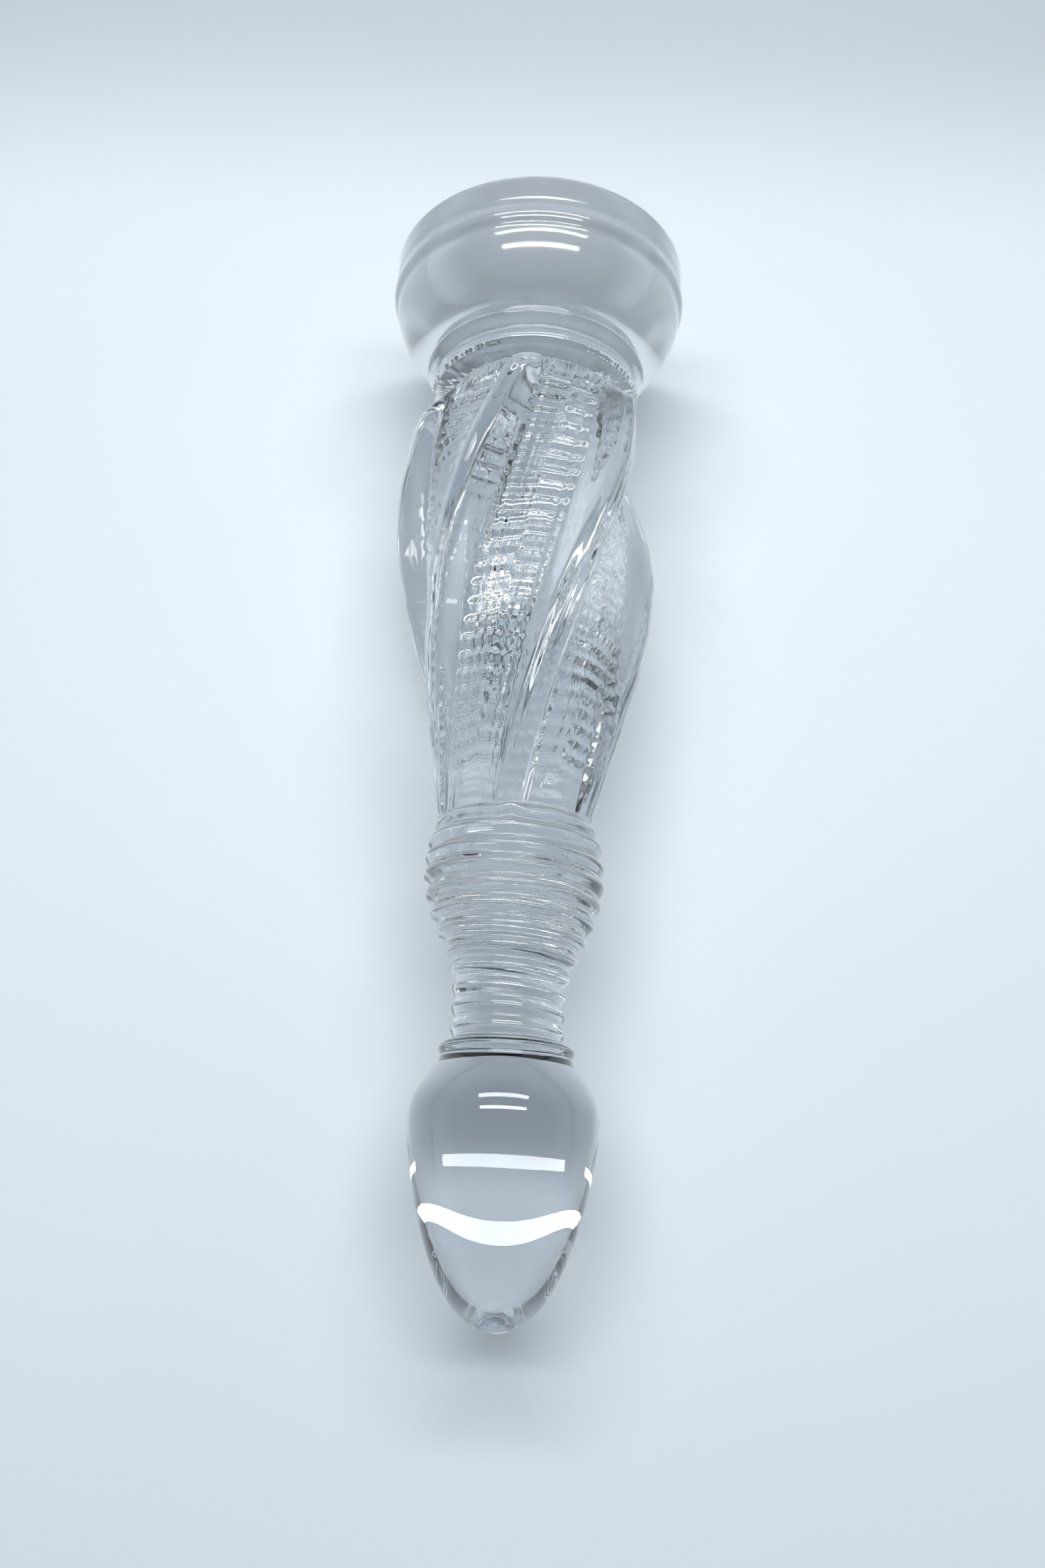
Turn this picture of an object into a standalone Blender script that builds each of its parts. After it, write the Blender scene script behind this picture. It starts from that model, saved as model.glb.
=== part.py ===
"""A solid clear-glass wand, as the separate gathers of glass that it is built up from.

The wand lies along Y. The centre of its flat foot face is the origin, its tip points to -Y,
and +Z is up as it lies on a table. Each piece is made standing on the foot face, with its
local +Z running to the tip, and the empty "wand_axis" lays the whole wand down.
"""

import math

import bmesh
import bpy
import numpy as np

MM = 0.001

# Driving dimensions, in millimetres and degrees. A station is a distance along the axis.
CLEARANCE = 0.3             # gap kept between neighbouring pieces

FOOT_LENGTH = 20.2          # flat foot face to the end of the foot's shoulder
FOOT_RADIUS = 25.8
FOOT_EDGE = 1.4             # rounding between the foot face and the wall
FOOT_SHOULDER_RADIUS = 19.0
FOOT_NECK_RADIUS = 15.4     # the stub that carries the two foot rings
BAND_START = 6.0            # the band is a thread of glass laid in a groove of the wall
BAND_WIDTH = 3.6
BAND_DEPTH = 1.1
BAND_PROUD = 0.2

FOOT_RING_RADII = (19.3, 18.3)
FOOT_RING_PITCH = 3.6
FOOT_RING_LAND = 0.8        # straight side of a foot ring, below its rounded outside

BODY_LENGTH = 81.0          # from the last foot ring to the collar
BODY_WIDEST = 27.3          # from the body's start to its widest place
CORE_START_RADIUS = 13.8
CORE_RADIUS = 15.4
CORE_END_RADIUS = 11.0
BODY_LIP_LENGTH = 2.6       # rounded lip where the body meets the collar
BODY_LIP_RADIUS = 12.4

FIN_ANGLES = (-4, 62, 137, 211, 284)   # from the top, towards +X, at the foot end
FIN_TWIST = 71.0            # turn of each fin between its ends
FIN_START_RADIUS = 17.3     # crest radius beside the foot rings
FIN_RADIUS = 23.3           # crest radius at the widest place
FIN_END_RADIUS = 12.7
FIN_BASE_ANGLE = 40.0       # part of the core's turn that a fin covers
FIN_CREST_WIDTH = 4.6

RING_COUNT = 11
RING_PITCH = 2.9
RING_HEIGHT = 1.5           # crest of a ring above the collar core
RING_LAND = 0.3
COLLAR_RADIUS = 14.2
COLLAR_START_RADIUS = 13.4
COLLAR_PEAK = 6.6           # from the collar's start to its widest place
COLLAR_SWELL_LENGTH = 26.1  # from the collar's start to the straight neck
NECK_RADIUS = 8.7
SEAT_RADIUS = 10.3          # the last ring, which seats the tip

TIP_LENGTH = 38.3
TIP_START_RADIUS = 9.7
TIP_RADIUS = 14.6
TIP_WIDEST = 10.2           # from the tip gather's start to its widest place

FOOT_SEGMENTS = 40
BODY_SEGMENTS = 30
COLLAR_SEGMENTS = 24
TIP_SEGMENTS = 28
FIN_STATIONS = 22

# Stations that follow from the sizes above.
FOOT_END = FOOT_LENGTH + FOOT_RING_PITCH * len(FOOT_RING_RADII)
BODY_END = FOOT_END + BODY_LENGTH
FIN_START = FOOT_END + CLEARANCE
FIN_END = BODY_END - BODY_LIP_LENGTH
COLLAR_END = BODY_END + RING_PITCH * (RING_COUNT + 1)
TIP_START = COLLAR_END + CLEARANCE
TIP_END = COLLAR_END + TIP_LENGTH


def clear_scene():
    for obj in list(bpy.data.objects):
        bpy.data.objects.remove(obj, do_unlink=True)


def make_collection(name):
    collection = bpy.data.collections.new(name)
    bpy.context.scene.collection.children.link(collection)
    return collection


def make_axis(collection):
    """The empty that lays the upright pieces down: local +Z becomes -Y, local +Y becomes +Z."""
    axis = bpy.data.objects.new("wand_axis", None)
    axis.rotation_euler = (math.radians(90), 0, 0)
    collection.objects.link(axis)
    return axis


def make_glass(name, tint, roughness):
    material = bpy.data.materials.new(name)
    material.use_nodes = True
    shader = material.node_tree.nodes["Principled BSDF"]
    shader.inputs["Base Color"].default_value = (*tint, 1)
    shader.inputs["Roughness"].default_value = roughness
    shader.inputs["Metallic"].default_value = 0
    shader.inputs["IOR"].default_value = 1.47
    shader.inputs["Transmission Weight"].default_value = 1
    return material


def add_piece(name, mesh, material):
    """Link a piece to the wand; a shared mesh keeps the material it already has."""
    if not mesh.materials:
        mesh.materials.append(material)
    piece = bpy.data.objects.new(name, mesh)
    WAND.objects.link(piece)
    piece.parent = AXIS
    return piece


def bezier(start, lead, tail, end, steps):
    """Points of a cubic curve, each (radius, station)."""
    points = []
    for step in range(steps + 1):
        t = step / steps
        u = 1 - t
        weights = (u ** 3, 3 * u * u * t, 3 * u * t * t, t ** 3)
        points.append(tuple(sum(w * p[i] for w, p in zip(weights, (start, lead, tail, end)))
                            for i in range(2)))
    return points


def between(low, high, share):
    return low + (high - low) * share


def radius_at(curve, station):
    radii, stations = zip(*curve)
    return float(np.interp(station, stations, radii))


def turned(name, outline, segments, material, closed=False):
    """Turn an outline of (radius, station) points, given from foot to tip, about the axis.

    An open outline starts and ends on the axis; a closed one is the section of a ring, with
    its outer side first. A facet, not an edge, faces straight down.
    """
    mesh = bpy.data.meshes.new(name)
    shape = bmesh.new()
    points = [shape.verts.new((radius * MM, 0, station * MM)) for radius, station in outline]
    points.reverse()
    if closed:
        points.append(points[0])
    for first, second in zip(points, points[1:]):
        shape.edges.new((first, second))
    shape.to_mesh(mesh)
    shape.free()
    piece = add_piece(name, mesh, material)
    piece.rotation_euler.z = math.pi / segments
    screw = piece.modifiers.new("turn", "SCREW")
    screw.axis = "Z"
    screw.angle = 2 * math.pi
    screw.steps = segments
    screw.render_steps = segments
    screw.use_merge_vertices = True
    screw.merge_threshold = 0.00001
    return piece


def ring_outline(inner, land, crest, start, end, steps=4):
    """A ring's section: a rounded outside between two short lands, and a straight inside.

    inner holds the inside radius at the start and at the end.
    """
    middle = (inner[0] + inner[1]) / 2 + land
    outline = []
    for step in range(steps + 1):
        turn = math.pi * (step / steps - 0.5)
        share = (1 + math.sin(turn)) / 2
        base = between(inner[0], inner[1], share) + land
        outline.append((base + (crest - middle) * math.cos(turn), between(start, end, share)))
    return outline + [(inner[1], end), (inner[0], start)]


# The foot ---------------------------------------------------------------------------------

def make_foot(material):
    """A thick flared bowl of glass with a flat face, and the stub for the foot rings."""
    groove_end = BAND_START + BAND_WIDTH
    groove_radius = FOOT_RADIUS - BAND_DEPTH
    outline = [(0, 0), (FOOT_RADIUS - FOOT_EDGE, 0)]
    for turn in (30, 60, 90):
        angle = math.radians(turn)
        outline.append((FOOT_RADIUS - FOOT_EDGE * (1 - math.sin(angle)),
                        FOOT_EDGE * (1 - math.cos(angle))))
    outline += [(FOOT_RADIUS, BAND_START), (groove_radius, BAND_START),
                (groove_radius, groove_end)]
    outline += bezier((FOOT_RADIUS, groove_end),
                      (FOOT_RADIUS, between(groove_end, FOOT_LENGTH, 0.4)),
                      (between(FOOT_SHOULDER_RADIUS, FOOT_RADIUS, 0.4),
                       between(groove_end, FOOT_LENGTH, 0.85)),
                      (FOOT_SHOULDER_RADIUS, FOOT_LENGTH), 6)
    outline += [(FOOT_NECK_RADIUS, FOOT_LENGTH), (FOOT_NECK_RADIUS, FOOT_END), (0, FOOT_END)]
    turned("foot", outline, FOOT_SEGMENTS, material)


def make_foot_band(material):
    inner = FOOT_RADIUS - BAND_DEPTH + CLEARANCE
    outline = ring_outline((inner, inner), FOOT_RADIUS - inner - BAND_PROUD, FOOT_RADIUS + BAND_PROUD,
                           BAND_START + CLEARANCE, BAND_START + BAND_WIDTH - CLEARANCE)
    turned("foot_band", outline, FOOT_SEGMENTS, material, closed=True)


def make_foot_rings(material):
    inner = FOOT_NECK_RADIUS + CLEARANCE
    for index, radius in enumerate(FOOT_RING_RADII):
        start = FOOT_LENGTH + FOOT_RING_PITCH * index
        outline = ring_outline((inner, inner), FOOT_RING_LAND, radius,
                               start + CLEARANCE, start + FOOT_RING_PITCH)
        turned(f"foot_ring_{index + 1}", outline, FOOT_SEGMENTS, material, closed=True)


# The body ---------------------------------------------------------------------------------

def body_curve(start_radius, widest_radius, end_radius):
    """Swell of the body from its start to the fins' end, used for the core and the crests."""
    widest = FOOT_END + BODY_WIDEST
    curve = bezier((start_radius, FOOT_END),
                   (between(start_radius, widest_radius, 0.66), between(FOOT_END, widest, 0.21)),
                   (widest_radius, between(FOOT_END, widest, 0.63)),
                   (widest_radius, widest), 8)
    return curve + bezier((widest_radius, widest),
                          (widest_radius, between(widest, FIN_END, 0.29)),
                          (between(end_radius, widest_radius, 0.24), between(widest, FIN_END, 0.725)),
                          (end_radius, FIN_END), 12)[1:]


def make_body_core(material):
    """The gather that carries the fins, with a rounded lip at its collar end."""
    core = body_curve(CORE_START_RADIUS, CORE_RADIUS, CORE_END_RADIUS)
    outline = [(0, FIN_START)]
    for share in np.linspace(0, 1, 14):
        station = between(FIN_START, FIN_END, share)
        outline.append((radius_at(core, station), station))
    lip = FIN_END + CLEARANCE
    outline += [(CORE_END_RADIUS, lip),
                (BODY_LIP_RADIUS, between(lip, BODY_END, 0.35)),
                (BODY_LIP_RADIUS, between(lip, BODY_END, 0.75)),
                (between(CORE_END_RADIUS, BODY_LIP_RADIUS, 0.6), BODY_END),
                (0, BODY_END)]
    turned("body_core", outline, BODY_SEGMENTS, material)


def fin_section(base, crest):
    """One fin's section as (angle, radius) points: a foot on the core, hollow sides, round crest."""
    half_base = FIN_BASE_ANGLE / 2
    half_crest = math.degrees(FIN_CREST_WIDTH / 2 / crest)
    foot = [(half_base * share, base) for share in (-1, -0.5, 0, 0.5, 1)]
    side = [(between(half_base, half_crest, 0.62), between(base, crest, 0.35)),
            (half_crest, between(base, crest, 0.86))]
    other_side = [(-angle, radius) for angle, radius in reversed(side)]
    return foot + side + [(0, crest)] + other_side


def make_fin_mesh():
    """Loft one fin along the core, turning as it goes."""
    core = body_curve(CORE_START_RADIUS, CORE_RADIUS, CORE_END_RADIUS)
    crests = body_curve(FIN_START_RADIUS, FIN_RADIUS, FIN_END_RADIUS)
    shape = bmesh.new()
    sections = []
    for share in np.linspace(0, 1, FIN_STATIONS):
        station = between(FIN_START, FIN_END, share)
        section = []
        for angle, radius in fin_section(radius_at(core, station) + CLEARANCE,
                                         radius_at(crests, station)):
            turn = math.radians(angle - FIN_TWIST * share)
            section.append(shape.verts.new((radius * MM * math.sin(turn),
                                            radius * MM * math.cos(turn), station * MM)))
        sections.append(section)
    for section, following in zip(sections, sections[1:]):
        for index in range(len(section)):
            beside = (index + 1) % len(section)
            shape.faces.new((section[index], section[beside], following[beside], following[index]))
    shape.faces.new(sections[0])
    shape.faces.new(sections[-1])
    bmesh.ops.recalc_face_normals(shape, faces=shape.faces)
    mesh = bpy.data.meshes.new("fin")
    shape.to_mesh(mesh)
    shape.free()
    mesh.shade_smooth()
    mesh.set_sharp_from_angle(angle=math.radians(40))
    return mesh


def make_fins(material):
    mesh = make_fin_mesh()
    for index, angle in enumerate(FIN_ANGLES):
        fin = add_piece(f"fin_{index + 1}", mesh, material)
        fin.rotation_euler.z = -math.radians(angle)


# The collar and neck ----------------------------------------------------------------------

def collar_radius(station):
    """Radius over the rings: a swell beside the body that eases down to a straight neck."""
    offset = station - BODY_END
    if offset < COLLAR_PEAK:
        return COLLAR_RADIUS - (COLLAR_RADIUS - COLLAR_START_RADIUS) * (1 - offset / COLLAR_PEAK) ** 2
    fall = min((offset - COLLAR_PEAK) / (COLLAR_SWELL_LENGTH - COLLAR_PEAK), 1)
    return between(NECK_RADIUS, COLLAR_RADIUS, (1 + math.cos(math.pi * fall)) / 2)


def collar_core_radius(station):
    return collar_radius(station) - RING_HEIGHT


def ring_start(index):
    return BODY_END + RING_PITCH * index


def make_collar_core(material):
    """The rod under the collar's rings, with a point at each joint between two rings."""
    start = BODY_END + CLEARANCE
    outline = [(0, start), (collar_core_radius(start), start)]
    for index in range(1, RING_COUNT + 2):
        station = ring_start(index)
        outline.append((collar_core_radius(station), station))
    outline.append((0, COLLAR_END))
    turned("collar_core", outline, COLLAR_SEGMENTS, material)


def make_collar_rings(material):
    """Even beads of glass wound on side by side, and the last one, which seats the tip."""
    for index in range(RING_COUNT + 1):
        start = ring_start(index) + CLEARANCE
        end = ring_start(index + 1)
        inner = (collar_core_radius(start) + CLEARANCE, collar_core_radius(end) + CLEARANCE)
        is_seat = index == RING_COUNT
        crest = SEAT_RADIUS if is_seat else collar_radius((start + end) / 2)
        name = "seat_ring" if is_seat else f"collar_ring_{index + 1:02d}"
        turned(name, ring_outline(inner, RING_LAND, crest, start, end), COLLAR_SEGMENTS,
               material, closed=True)


# The tip ----------------------------------------------------------------------------------

def make_tip(material):
    """An acorn of clear glass: a full shoulder over the seat, and a long rounded taper."""
    widest = COLLAR_END + TIP_WIDEST
    outline = [(0, TIP_START)]
    outline += bezier((TIP_START_RADIUS, TIP_START),
                      (between(TIP_START_RADIUS, TIP_RADIUS, 0.5), between(TIP_START, widest, 0.2)),
                      (TIP_RADIUS, between(TIP_START, widest, 0.6)),
                      (TIP_RADIUS, widest), 6)
    outline += bezier((TIP_RADIUS, widest),
                      (TIP_RADIUS, between(widest, TIP_END, 0.27)),
                      (TIP_RADIUS * 0.56, TIP_END),
                      (0, TIP_END), 10)[1:]
    turned("tip", outline, TIP_SEGMENTS, material)


clear_scene()
WAND = make_collection("glass_wand")
AXIS = make_axis(WAND)
FOOT_GLASS = make_glass("foot_glass", (0.93, 0.95, 0.97), 0.04)
BODY_GLASS = make_glass("body_glass", (0.90, 0.94, 0.96), 0.03)
RING_GLASS = make_glass("ring_glass", (0.90, 0.94, 0.96), 0.02)
TIP_GLASS = make_glass("tip_glass", (0.92, 0.95, 0.97), 0.01)

make_foot(FOOT_GLASS)
make_foot_band(FOOT_GLASS)
make_foot_rings(RING_GLASS)
make_body_core(BODY_GLASS)
make_fins(BODY_GLASS)
make_collar_core(RING_GLASS)
make_collar_rings(RING_GLASS)
make_tip(TIP_GLASS)
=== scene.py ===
"""The glass wand as it looks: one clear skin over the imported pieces, on pale paper.

The wand is melted glass with no joints inside, so the skin is a single closed surface. Where
each part starts and ends, and the turned radii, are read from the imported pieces. The height,
section, angles and twist of the fins, and the small curves of the foot, lip and tip, are set
here. A station is a distance along the axis, in metres, from the flat foot face; an angle is
measured from the top of the lying wand, towards +X.
"""

import math

import bpy
import numpy as np
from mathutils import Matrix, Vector


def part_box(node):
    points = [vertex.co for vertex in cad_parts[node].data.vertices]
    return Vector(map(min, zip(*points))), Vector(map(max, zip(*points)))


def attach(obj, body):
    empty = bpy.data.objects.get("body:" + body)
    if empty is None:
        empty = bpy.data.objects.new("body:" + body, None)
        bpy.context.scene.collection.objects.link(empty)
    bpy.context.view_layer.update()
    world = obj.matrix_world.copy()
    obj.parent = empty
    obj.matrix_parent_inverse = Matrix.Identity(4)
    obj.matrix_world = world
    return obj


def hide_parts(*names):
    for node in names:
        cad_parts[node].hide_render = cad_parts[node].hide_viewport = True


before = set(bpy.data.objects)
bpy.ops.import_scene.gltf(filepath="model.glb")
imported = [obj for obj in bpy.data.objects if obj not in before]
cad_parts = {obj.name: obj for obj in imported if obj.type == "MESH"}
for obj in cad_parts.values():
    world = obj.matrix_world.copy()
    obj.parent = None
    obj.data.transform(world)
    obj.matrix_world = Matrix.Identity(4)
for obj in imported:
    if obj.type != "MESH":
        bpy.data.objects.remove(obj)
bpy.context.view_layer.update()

MM = 0.001
COLUMNS = 240               # vertices round the skin
BODY_ROWS = 186             # rows of vertices along the fins
FOOT_SIDES, COLLAR_SIDES, TIP_SIDES = 40, 24, 28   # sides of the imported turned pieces

FIN_ANGLES = (-4, 62, 137, 211, 284)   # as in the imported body, at the foot end
FIN_TWIST = 71.0
CRIMP_PITCH = 2.85 * MM     # pinch marks across the valleys
CRIMP_HEIGHT = 0.24 * MM
STREAK_HEIGHT = 0.13 * MM   # lines left along the fins where the hot glass was drawn
RING_TILT = 0.55 * MM       # the rings sit a little askew
REST_HEIGHT = 1.3 * MM      # how much taller the fin is where the paper touches it
SEAT_DEPTH = 0.22 * MM      # shallow groove where the last ring meets the tip
JOIN_ANGLE = -80.0          # where the rings are dented, as if each thread of glass closed there
UNDER_RELIEF = 0.3          # share of the fine relief of the body kept on the underside
EDGE_RADIUS = 1.4 * MM      # round edge of the foot face
GLASS_IOR = 1.47

FLOOR_REACH = 3.0           # metres of paper to each side
LAMP_DISTANCE = 0.50
SENSOR = 36                 # millimetres along the frame's long side
LENS = SENSOR * 2108 / 2352
CAMERA_PLACE = (0.0037, -0.1725, 0.214)
CAMERA_PITCH = 71           # degrees down from level
CAMERA_YAW = -2.3           # degrees towards +X


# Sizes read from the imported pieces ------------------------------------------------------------

def span(node):
    """First and last station of a piece."""
    low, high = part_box(node)
    return -high[1], -low[1]


def radius(node, segments):
    """Outer radius of a turned piece, whose box touches the flats of its polygon."""
    low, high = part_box(node)
    return (high[0] - low[0]) / 2 / math.cos(math.pi / segments)


def ring_nodes():
    names = sorted(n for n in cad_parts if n.startswith("collar_ring_"))
    return names + ["seat_ring"]


# The skin's outline -----------------------------------------------------------------------------

def between(low, high, share):
    return low + (high - low) * share


def smooth(low, high, value):
    share = np.clip((value - low) / (high - low), 0, 1)
    return share * share * (3 - 2 * share)


def bezier(start, lead, tail, end, steps):
    t = np.linspace(0, 1, steps + 1)[:, None]
    points = [np.array(p, float) for p in (start, lead, tail, end)]
    return ((1 - t) ** 3 * points[0] + 3 * (1 - t) ** 2 * t * points[1]
            + 3 * (1 - t) * t * t * points[2] + t ** 3 * points[3])


def bead(start, end, valley_start, valley_end, crest, steps):
    """Points across one ring, round on top and in the groove beside it."""
    share = np.linspace(0, 1, steps + 1)
    valley = between(valley_start, valley_end, share)
    swell = (0.5 - 0.5 * np.cos(2 * math.pi * share)) ** 0.6
    return np.column_stack([valley + (crest - valley) * swell, between(start, end, share)])


def foot_outline():
    """Foot face, rounded edge, wall with its band, and shoulder, as (radius, station) points."""
    foot_radius = radius("foot", FOOT_SIDES)
    face = foot_radius - EDGE_RADIUS
    band_start, band_end = span("foot_band")
    shoulder = span("foot_ring_1")[0]
    rows = [(face * share, 0) for share in (0.12, 0.3, 0.5, 0.7, 0.85, 0.95, 1)]
    for turn in np.radians([18, 36, 54, 72, 90]):
        rows.append((face + EDGE_RADIUS * math.sin(turn), EDGE_RADIUS * (1 - math.cos(turn))))
    rows += [(foot_radius, station) for station in np.linspace(2.2, 5.0, 5) * MM]
    rows += [tuple(p) for p in bead(band_start - 0.5 * MM, band_end + 0.5 * MM, foot_radius - 0.25 * MM,
                                    foot_radius - 0.45 * MM, foot_radius + 0.3 * MM, 10)]
    neck = radius("foot_ring_1", FOOT_SIDES)
    wall = bezier((foot_radius - 0.5 * MM, band_end + 1.1 * MM), (foot_radius - 0.5 * MM, 13 * MM),
                  (neck + 3.0 * MM, shoulder - 1.4 * MM), (neck - 0.4 * MM, shoulder - 0.2 * MM), 18)
    return rows + [tuple(p) for p in wall]


def foot_ring_outline():
    rows = []
    first, second = span("foot_ring_1"), span("foot_ring_2")
    waist = radius("foot_ring_1", FOOT_SIDES) - 1.7 * MM
    for (start, end), node in ((first, "foot_ring_1"), (second, "foot_ring_2")):
        points = bead(start, end + 0.25 * MM, waist, waist, radius(node, FOOT_SIDES), 12)
        rows += [tuple(p) for p in points[1:]]
    return rows


def collar_outline():
    """The rings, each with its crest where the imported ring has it."""
    rows = []
    nodes = ring_nodes()
    crests = [radius(n, COLLAR_SIDES) for n in nodes]
    for index, node in enumerate(nodes):
        start, end = span(node)
        before = crests[index - 1] if index else crests[0] - 0.6 * MM
        after = crests[index + 1] if index + 1 < len(nodes) else crests[index]
        depth = between(0.80 * MM, 0.50 * MM, index / (len(nodes) - 1))
        after_depth = SEAT_DEPTH if node == "seat_ring" else depth
        points = bead(start - 0.3 * MM, end, min(before, crests[index]) - depth,
                      min(after, crests[index]) - after_depth, crests[index], 8)
        rows += [tuple(p) for p in points[1:]]
    return rows


def tip_outline():
    """Round shoulder, long taper and blunt end."""
    start, end = span("tip")
    first = radius("seat_ring", COLLAR_SIDES) - SEAT_DEPTH
    full = radius("tip", TIP_SIDES) - 0.16 * MM
    widest, nose = start + 8.4 * MM, end - 6.5 * MM
    rows = list(bezier((first, start), (first + 1.2 * MM, start + 1.6 * MM), (full, widest - 4.0 * MM),
                       (full, widest), 14)[1:])
    rows += list(bezier((full, widest), (full, widest + 4.1 * MM), (full * 0.845, nose - 6.8 * MM),
                        (full * 0.589, nose), 16)[1:])
    rows += list(bezier((full * 0.589, nose), (full * 0.35, end), (full * 0.03, end), (0, end), 14)[1:-1])
    return [tuple(p) for p in rows]


# The finned body ----------------------------------------------------------------------------------

def fin_radii(stations):
    """Crest radius and valley radius along the body."""
    start, end = span("fin_1")
    widest = start + 27.0 * MM
    crest = np.vstack([
        bezier((17.3, start), (21.2, between(start, widest, 0.21)), (23.3, between(start, widest, 0.63)),
               (23.3, widest), 12),
        bezier((23.3, widest), (23.3, between(widest, end, 0.29)), (15.2, between(widest, end, 0.725)),
               (12.7, end), 16)[1:]])
    valley = np.vstack([
        bezier((14.4, start), (15.3, between(start, widest, 0.21)), (15.6, between(start, widest, 0.63)),
               (15.6, widest), 12),
        bezier((15.6, widest), (15.6, between(widest, end, 0.29)), (12.2, between(widest, end, 0.725)),
               (11.4, end), 16)[1:]])
    return (np.interp(stations, crest[:, 1], crest[:, 0]) * MM,
            np.interp(stations, valley[:, 1], valley[:, 0]) * MM)


def fin_places(angles):
    """For each angle round the body at its start: which fin is nearest, and how far the valley is.

    The share is 0 on a crest and 1 in the middle of a valley; the side is -1 or 1.
    """
    fins = np.array(FIN_ANGLES, float)
    offsets = (angles[:, None] - fins[None, :] + 180) % 360 - 180
    nearest = np.abs(offsets).argmin(axis=1)
    offset = offsets[np.arange(len(angles)), nearest]
    side = np.where(offset < 0, -1, 1)
    neighbours = fins[(nearest + side) % len(fins)]
    gap = np.abs((neighbours - fins[nearest]) * side % 360)
    return nearest, np.abs(offset) / (gap / 2), side


def fin_shape(share):
    """Height of a fin's section: round crest, steep side, then a long hollow slope."""
    crest = 1 - smooth(0.12, 0.44, share)
    slope = (1 - np.clip(share, 0, 1)) ** 1.6
    return 0.58 * crest + 0.42 * slope


def fine_relief(turn):
    """Share of the body's fine relief at an angle: all of it on top, less underneath."""
    return UNDER_RELIEF + (1 - UNDER_RELIEF) * smooth(-0.7, 0.2, np.cos(turn))


def body_radius(stations, angles, turned, seed=7):
    """Radius of the finned body, stations down the rows and angles across the columns.

    The turned angles are those of the same points after the twist.
    """
    random = np.random.default_rng(seed)
    crest, valley = fin_radii(stations)
    nearest, share, side = fin_places(angles)
    start, end = span("fin_1")
    along = ((stations - start) / (end - start))[:, None]
    rise = smooth(-0.02, 0.07, along)
    radii = valley[:, None] + (crest - valley)[:, None] * fin_shape(share)[None, :] * rise
    drift = random.uniform(0, 1, (len(FIN_ANGLES), 3))[nearest]

    # The maker's pinches: every fin's side has its own row, half a pitch from the row it meets.
    phase = (stations[:, None] / CRIMP_PITCH + 0.25 * side + 0.3 * drift[:, 0]
             + 0.22 * np.sin(9 * along + 6 * drift[:, 1]) + 0.45 * (share - 0.7))
    cell = phase - np.round(phase)
    pinch = np.exp(-(cell / 0.15) ** 2) + 0.45 * np.cos(2 * math.pi * phase) - 0.2
    across = smooth(0.30, 0.50, share) * (1 - 0.3 * smooth(0.92, 1.0, share))
    ends = smooth(0.02, 0.10, along) * (1 - smooth(0.88, 0.98, along))
    strength = 1 + 0.35 * np.sin(31 * along + 7 * drift[:, 2])
    radii += CRIMP_HEIGHT * pinch * across * ends * strength * fine_relief(turned)

    # Drawn lines along the fins, which waver a little because the work is done by hand.
    turn = np.radians(angles)
    lines = (np.sin(47 * turn + 1.1 * np.sin(5 * along))
             + 0.8 * np.sin(71 * turn + 2.0 * np.sin(3 * along + 1))
             + 0.7 * np.sin(31 * turn + 2 * along))
    radii += STREAK_HEIGHT * lines * (1 - smooth(0.45, 0.80, share)) * rise * fine_relief(turned)
    waver = np.sin(23 * along + 5 * drift[:, 0]) + 0.6 * np.sin(47 * along + 9 * drift[:, 1])
    radii += 0.10 * MM * waver * (1 - smooth(0.1, 0.5, share))

    # The fin that the paper touches stands a little taller, which lifts the tip.
    lower = np.degrees(turned) % 360 - 180
    along_swell = np.exp(-((stations[:, None] - start - 24 * MM) / (14 * MM)) ** 2)
    radii += REST_HEIGHT * along_swell * np.exp(-(lower / 24) ** 2)
    return radii


def lean(stations, turn):
    """How far a point slides along the axis: askew rings, and the wavy lip over the collar."""
    first, last = span("collar_ring_01")[0], span("seat_ring")[1]
    rings = smooth(first - 2 * MM, first + 6 * MM, stations) * (1 - smooth(last - 9 * MM, last, stations))
    lip = np.exp(-((stations - first + 1.2 * MM) / (1.6 * MM)) ** 2)
    curl = np.exp(-((np.degrees(turn) + 3) / 7) ** 2)
    wave = 0.5 * np.sin(turn - 0.6) + 0.3 * np.sin(3 * turn + 1) - 0.9 * curl
    return RING_TILT * np.sin(turn) * rings + 0.8 * MM * wave * lip


def blemish(stations, turn):
    """Dents across the rings, at one place round them."""
    gap = (np.degrees(turn) - JOIN_ANGLE + 180) % 360 - 180
    first, last = span("collar_ring_01")[0], span("seat_ring")[0]
    beside = smooth(first, first + MM, stations) * (1 - smooth(last, last + MM, stations))
    wobble = 3.0 * np.sin(1900 * stations)
    return -0.22 * MM * np.exp(-((gap - wobble) / 5.0) ** 2) * beside


# The skin ------------------------------------------------------------------------------------------

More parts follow.
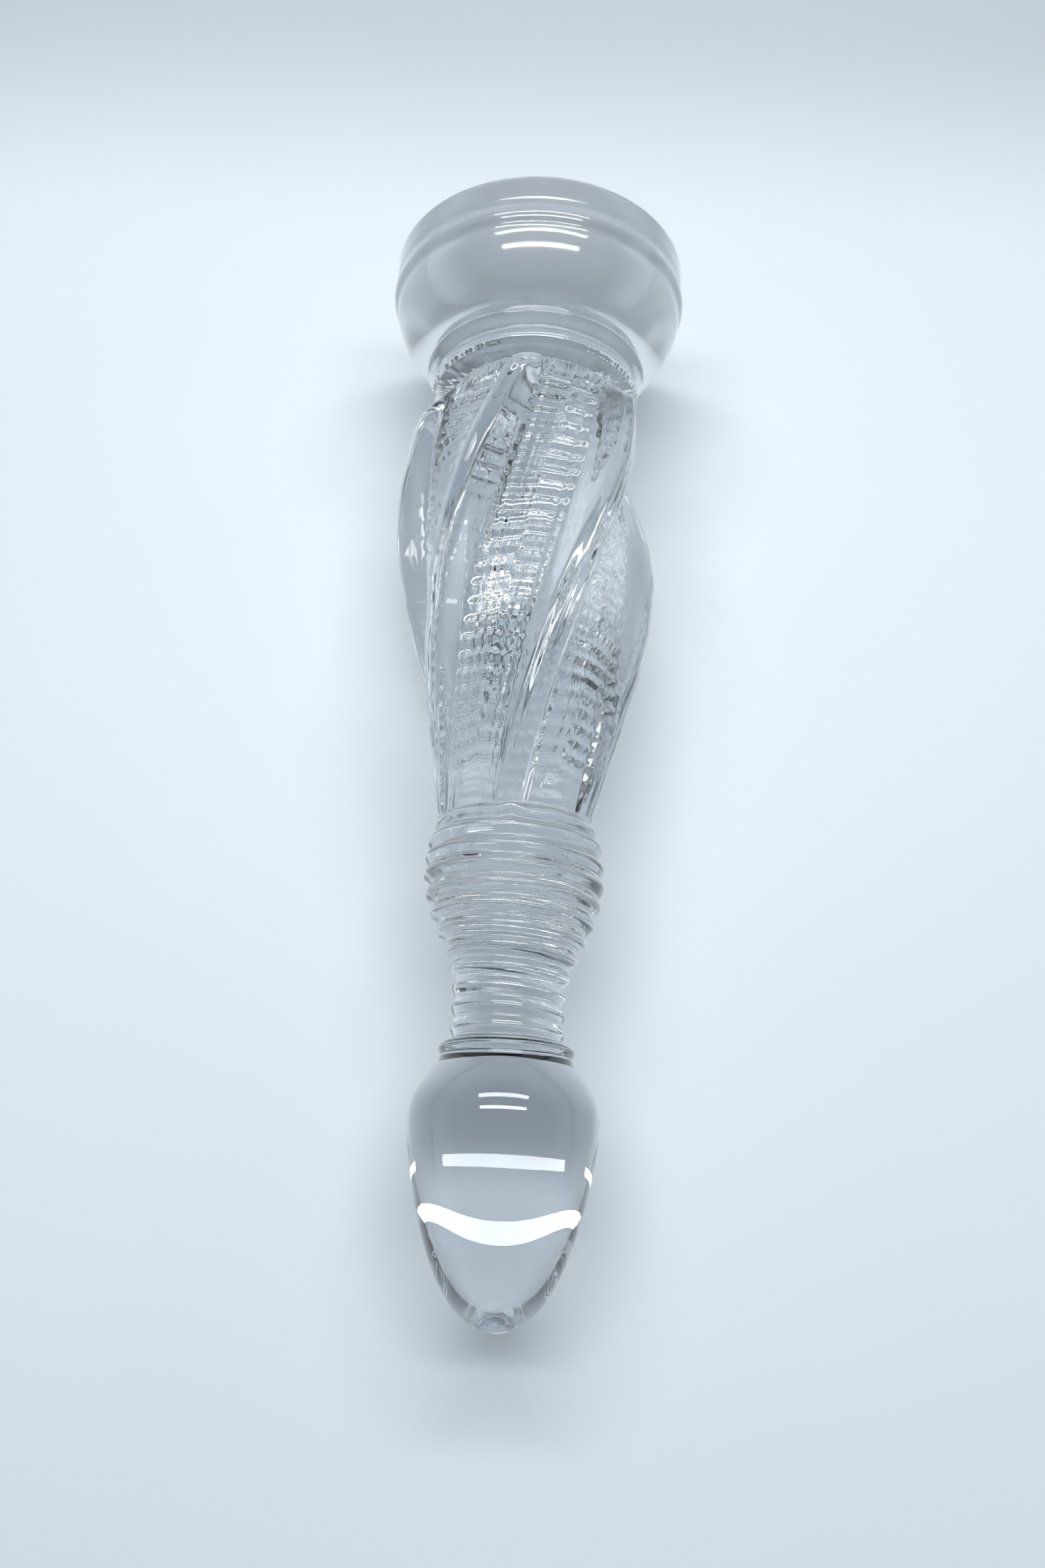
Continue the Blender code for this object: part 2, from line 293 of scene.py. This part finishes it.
def make_skin():
    start, end = span("fin_1")
    columns = np.arange(COLUMNS) * 360 / COLUMNS
    head = np.array(foot_outline() + foot_ring_outline())
    body_stations = np.linspace(start + 0.2 * MM, end, BODY_ROWS)
    lip_end = span("collar_ring_01")[0] - 0.3 * MM
    lip = np.column_stack([
        (11.6 + 1.1 * np.sin(np.linspace(0.25, math.pi, 8)) ** 0.8) * MM,
        np.linspace(end + 0.45 * MM, lip_end, 8)])
    tail = np.vstack([lip, collar_outline(), tip_outline()])

    stations = np.concatenate([head[:, 1], body_stations, tail[:, 1]])
    stations = np.repeat(stations[:, None], COLUMNS, axis=1)
    twist = FIN_TWIST * np.clip((stations - start) / (end - start), 0, 1)
    angles = np.radians((columns[None, :] - twist + 180) % 360 - 180)
    body_angles = angles[len(head):len(head) + BODY_ROWS]
    radii = np.vstack([np.repeat(head[:, :1], COLUMNS, axis=1),
                       body_radius(body_stations, columns, body_angles),
                       np.repeat(tail[:, :1], COLUMNS, axis=1)])
    # Turned by hand: nothing is quite round.
    radii = radii * (1 + 0.0020 * np.sin(2 * angles + 40 * stations)
                     + 0.0012 * np.sin(3 * angles - 70 * stations))
    radii += blemish(stations, angles)
    stations = stations + lean(stations, angles)

    verts = np.stack([radii * np.sin(angles), -stations, radii * np.cos(angles)], axis=-1).reshape(-1, 3)
    rows = len(stations)
    verts = np.vstack([verts, [(0, 0, 0), (0, -span("tip")[1], 0)]])
    index = np.arange(rows * COLUMNS).reshape(rows, COLUMNS)
    beside = np.roll(index, -1, axis=1)
    quads = np.stack([index[:-1], index[1:], beside[1:], beside[:-1]], axis=-1).reshape(-1, 4)
    faces = [tuple(q) for q in quads.tolist()]
    centre, pole = rows * COLUMNS, rows * COLUMNS + 1
    faces += [(centre, int(a), int(b)) for a, b in zip(index[0], beside[0])]
    faces += [(pole, int(b), int(a)) for a, b in zip(index[-1], beside[-1])]

    mesh = bpy.data.meshes.new("wand_glass")
    mesh.from_pydata(verts.tolist(), [], faces)
    mesh.validate()
    add_drawn(mesh, columns, stations)
    mesh.shade_smooth()
    mesh.update()
    skin = bpy.data.objects.new("wand_glass", mesh)
    bpy.context.scene.collection.objects.link(skin)
    return skin


def add_drawn(mesh, columns, stations):
    """Place of each vertex in the drawn glass: on a unit circle round it, and metres along it."""
    turn = np.radians(np.broadcast_to(columns, stations.shape))
    places = np.stack([np.cos(turn), np.sin(turn), stations], axis=-1).reshape(-1, 3)
    places = np.vstack([places, [(0, 0, 0), (0, 0, span("tip")[1])]]).astype(np.float32)
    drawn = mesh.attributes.new("drawn", "FLOAT_VECTOR", "POINT")
    drawn.data.foreach_set("vector", places.ravel())


# Materials ------------------------------------------------------------------------------------------

def new_material(name):
    material = bpy.data.materials.new(name)
    material.use_nodes = True
    nodes = material.node_tree.nodes
    return material, nodes, material.node_tree.links, nodes["Principled BSDF"]


def add(nodes, kind, **values):
    node = nodes.new("ShaderNode" + kind)
    for name, value in values.items():
        if hasattr(node, name):
            setattr(node, name, value)
        else:
            node.inputs[name.replace("_", " ")].default_value = value
    return node


def ramp(nodes, links, source, low, high, to_low=0.0, to_high=1.0):
    """A smooth step of a value."""
    node = add(nodes, "MapRange", interpolation_type="SMOOTHSTEP")
    for name, value in (("From Min", low), ("From Max", high), ("To Min", to_low), ("To Max", to_high)):
        node.inputs[name].default_value = value
    links.new(source, node.inputs["Value"])
    return node.outputs["Result"]


def math_node(nodes, links, operation, first, second):
    node = add(nodes, "Math", operation=operation)
    for socket, value in zip(node.inputs, (first, second)):
        if isinstance(value, (int, float)):
            socket.default_value = value
        else:
            links.new(value, socket)
    return node.outputs["Value"]


def make_glass():
    """Clear glass: faint grey-blue depth, drawn lines on the fins, a hazy foot."""
    material, nodes, links, shader = new_material("clear_glass")
    shader.inputs["Base Color"].default_value = (0.985, 0.992, 1.0, 1)
    shader.inputs["IOR"].default_value = GLASS_IOR

    drawn = add(nodes, "Attribute", attribute_name="drawn")
    parts = add(nodes, "SeparateXYZ")
    links.new(drawn.outputs["Vector"], parts.inputs["Vector"])
    station = parts.outputs["Z"]
    body = math_node(nodes, links, "MULTIPLY", ramp(nodes, links, station, 0.022, 0.030),
                     ramp(nodes, links, station, 0.095, 0.102, 1.0, 0.0))
    foot = ramp(nodes, links, station, 0.014, 0.024, 1.0, 0.0)

    # Fine lines run along the twisted glass: the texture is stretched along the axis.
    stretch = add(nodes, "VectorMath", operation="MULTIPLY")
    stretch.inputs[1].default_value = (1, 1, 4)
    links.new(drawn.outputs["Vector"], stretch.inputs[0])
    lines = add(nodes, "TexNoise", Scale=13.0, Detail=1.0, Roughness=0.5)
    links.new(stretch.outputs["Vector"], lines.inputs["Vector"])
    line_bump = add(nodes, "Bump", Distance=0.0004)
    links.new(lines.outputs["Fac"], line_bump.inputs["Height"])
    links.new(math_node(nodes, links, "MULTIPLY", body, 0.9), line_bump.inputs["Strength"])

    # Hot-worked glass is never flat: slow ripples everywhere, about 5 mm apart.
    place = add(nodes, "TexCoord")
    ripple = add(nodes, "TexNoise", Scale=210.0, Detail=2.0)
    links.new(place.outputs["Object"], ripple.inputs["Vector"])
    ripple_bump = add(nodes, "Bump", Distance=0.0002, Strength=0.06)
    links.new(ripple.outputs["Fac"], ripple_bump.inputs["Height"])
    links.new(line_bump.outputs["Normal"], ripple_bump.inputs["Normal"])
    links.new(ripple_bump.outputs["Normal"], shader.inputs["Normal"])

    # Handling marks vary the gloss, and the thick foot is hazy.
    marks = add(nodes, "TexNoise", Scale=90.0, Detail=4.0)
    links.new(place.outputs["Object"], marks.inputs["Vector"])
    smudge = ramp(nodes, links, marks.outputs["Fac"], 0.50, 0.75, 0.0, 0.03)
    haze = math_node(nodes, links, "MULTIPLY", foot, 0.12)
    links.new(math_node(nodes, links, "ADD", smudge, haze), shader.inputs["Roughness"])
    clear = math_node(nodes, links, "SUBTRACT", 1.0, math_node(nodes, links, "MULTIPLY", foot, 0.12))
    links.new(clear, shader.inputs["Transmission Weight"])
    shader.inputs["Coat Weight"].default_value = 0.6
    shader.inputs["Coat Roughness"].default_value = 0.02

    depth = add(nodes, "VolumeAbsorption", Density=3.5)
    depth.inputs["Color"].default_value = (0.30, 0.46, 0.56, 1)
    links.new(depth.outputs["Volume"], nodes["Material Output"].inputs["Volume"])
    return material


def make_paper():
    """Pale backdrop paper: faint mottling and tooth, and painted shade that darkens it behind the foot,
    where the light falls off.
    """
    material, nodes, links, shader = new_material("pale_paper")
    place = add(nodes, "TexCoord")
    mottle = add(nodes, "TexNoise", Scale=7.0, Detail=4.0)
    links.new(place.outputs["Object"], mottle.inputs["Vector"])
    tone = ramp(nodes, links, mottle.outputs["Fac"], 0.3, 0.7, 0.975, 1.0)
    parts = add(nodes, "SeparateXYZ")
    links.new(place.outputs["Object"], parts.inputs["Vector"])
    # Painted shade: the paper's colour darkens behind the foot, in place of the light falling off there.
    painted_shade = ramp(nodes, links, parts.outputs["Y"], 0.030, 0.10, 1.0, 0.76)
    colour = add(nodes, "VectorMath", operation="SCALE")
    colour.inputs[0].default_value = (0.81, 0.89, 0.96)
    links.new(math_node(nodes, links, "MULTIPLY", tone, painted_shade), colour.inputs["Scale"])
    links.new(colour.outputs["Vector"], shader.inputs["Base Color"])
    tooth = add(nodes, "TexNoise", Scale=1500.0, Detail=3.0)
    links.new(place.outputs["Object"], tooth.inputs["Vector"])
    bump = add(nodes, "Bump", Distance=0.0001, Strength=0.25)
    links.new(tooth.outputs["Fac"], bump.inputs["Height"])
    links.new(bump.outputs["Normal"], shader.inputs["Normal"])
    shader.inputs["Roughness"].default_value = 0.65
    return material


# Stage -----------------------------------------------------------------------------------------------

def make_floor(skin):
    """A plane of paper that the lying wand touches with its foot and one fin."""
    slope, height = resting_line(skin)
    mesh = bpy.data.meshes.new("floor")
    reach = FLOOR_REACH
    corners = [(-reach, -reach), (reach, -reach), (reach, reach), (-reach, reach)]
    mesh.from_pydata([(x, y, height + slope * y) for x, y in corners], [], [(0, 1, 2, 3)])
    floor = bpy.data.objects.new("floor", mesh)
    mesh.materials.append(make_paper())
    bpy.context.scene.collection.objects.link(floor)


def resting_line(skin):
    """Slope and height at Y = 0 of the plane that touches the foot and the lowest point past it.

    It is tilted about X only, and says nothing about balance.
    """
    points = np.empty(len(skin.data.vertices) * 3, np.float32)
    skin.data.vertices.foreach_get("co", points)
    points = points.reshape(-1, 3)
    foot = points[points[:, 1] > -15 * MM]
    rest = points[points[:, 1] < -35 * MM]
    slope = 0.0
    # The foot's lowest point depends on the slope and the slope on that point, so they take turns.
    for _ in range(20):
        pivot = foot[(foot[:, 2] - slope * foot[:, 1]).argmin()]
        slope = ((rest[:, 2] - pivot[2]) / (rest[:, 1] - pivot[1])).max()
    return float(slope), float(pivot[2] - slope * pivot[1])


def make_light(name, position, target, size, power):
    data = bpy.data.lights.new(name, "AREA")
    data.shape = "RECTANGLE"
    data.size, data.size_y = size
    data.energy = power
    lamp = bpy.data.objects.new(name, data)
    lamp.location = position
    lamp.rotation_euler = (Vector(target) - Vector(position)).to_track_quat("-Z", "Y").to_euler()
    bpy.context.scene.collection.objects.link(lamp)
    return lamp


def lamp_place(elevation):
    """Place of a lamp behind and above the tip, and the point it faces."""
    target = Vector((0, -0.15, 0))
    turn = math.radians(elevation)
    return target + LAMP_DISTANCE * Vector((0, math.cos(turn), math.sin(turn))), target


def make_fill():
    """Broad soft light for the paper, which doesn't show in the glass."""
    fill = make_light("fill", (0, -0.05, 1.0), (0, -0.05, 0), (1.2, 1.2), 2.0)
    fill.visible_glossy = False
    fill.visible_transmission = False


def make_world():
    """A room with pale walls up to a little above the horizon, and a dark ceiling."""
    world = bpy.data.worlds.new("studio")
    bpy.context.scene.world = world
    world.use_nodes = True
    nodes, links = world.node_tree.nodes, world.node_tree.links
    direction = add(nodes, "TexCoord")
    parts = add(nodes, "SeparateXYZ")
    links.new(direction.outputs["Generated"], parts.inputs["Vector"])
    walls = nodes.new("ShaderNodeValToRGB")
    walls.color_ramp.interpolation = "EASE"
    elements = walls.color_ramp.elements
    elements[0].position, elements[0].color = 0.18, (0.50, 0.56, 0.62, 1)
    elements[1].position, elements[1].color = 0.60, (0.01, 0.014, 0.018, 1)
    links.new(parts.outputs["Z"], walls.inputs["Fac"])
    links.new(walls.outputs["Color"], nodes["Background"].inputs["Color"])


def make_camera():
    data = bpy.data.cameras.new("camera")
    data.sensor_width = SENSOR
    data.lens = LENS
    camera = bpy.data.objects.new("camera", data)
    pitch, yaw = math.radians(CAMERA_PITCH), math.radians(CAMERA_YAW)
    forward = Vector((math.sin(yaw) * math.cos(pitch), math.cos(yaw) * math.cos(pitch), -math.sin(pitch)))
    camera.location = CAMERA_PLACE
    camera.rotation_euler = forward.to_track_quat("-Z", "Y").to_euler()
    data.clip_start = 0.01
    bpy.context.scene.collection.objects.link(camera)
    bpy.context.scene.camera = camera


skin = make_skin()
skin.data.materials.append(make_glass())
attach(skin, "root")
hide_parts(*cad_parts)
make_floor(skin)
make_world()
make_light("panel_back", *lamp_place(52), (0.5, 0.07), 1.20)
make_light("panel_over", *lamp_place(77), (0.5, 0.05), 1.10)
make_fill()
make_camera()
bpy.context.scene.view_settings.view_transform = "Standard"
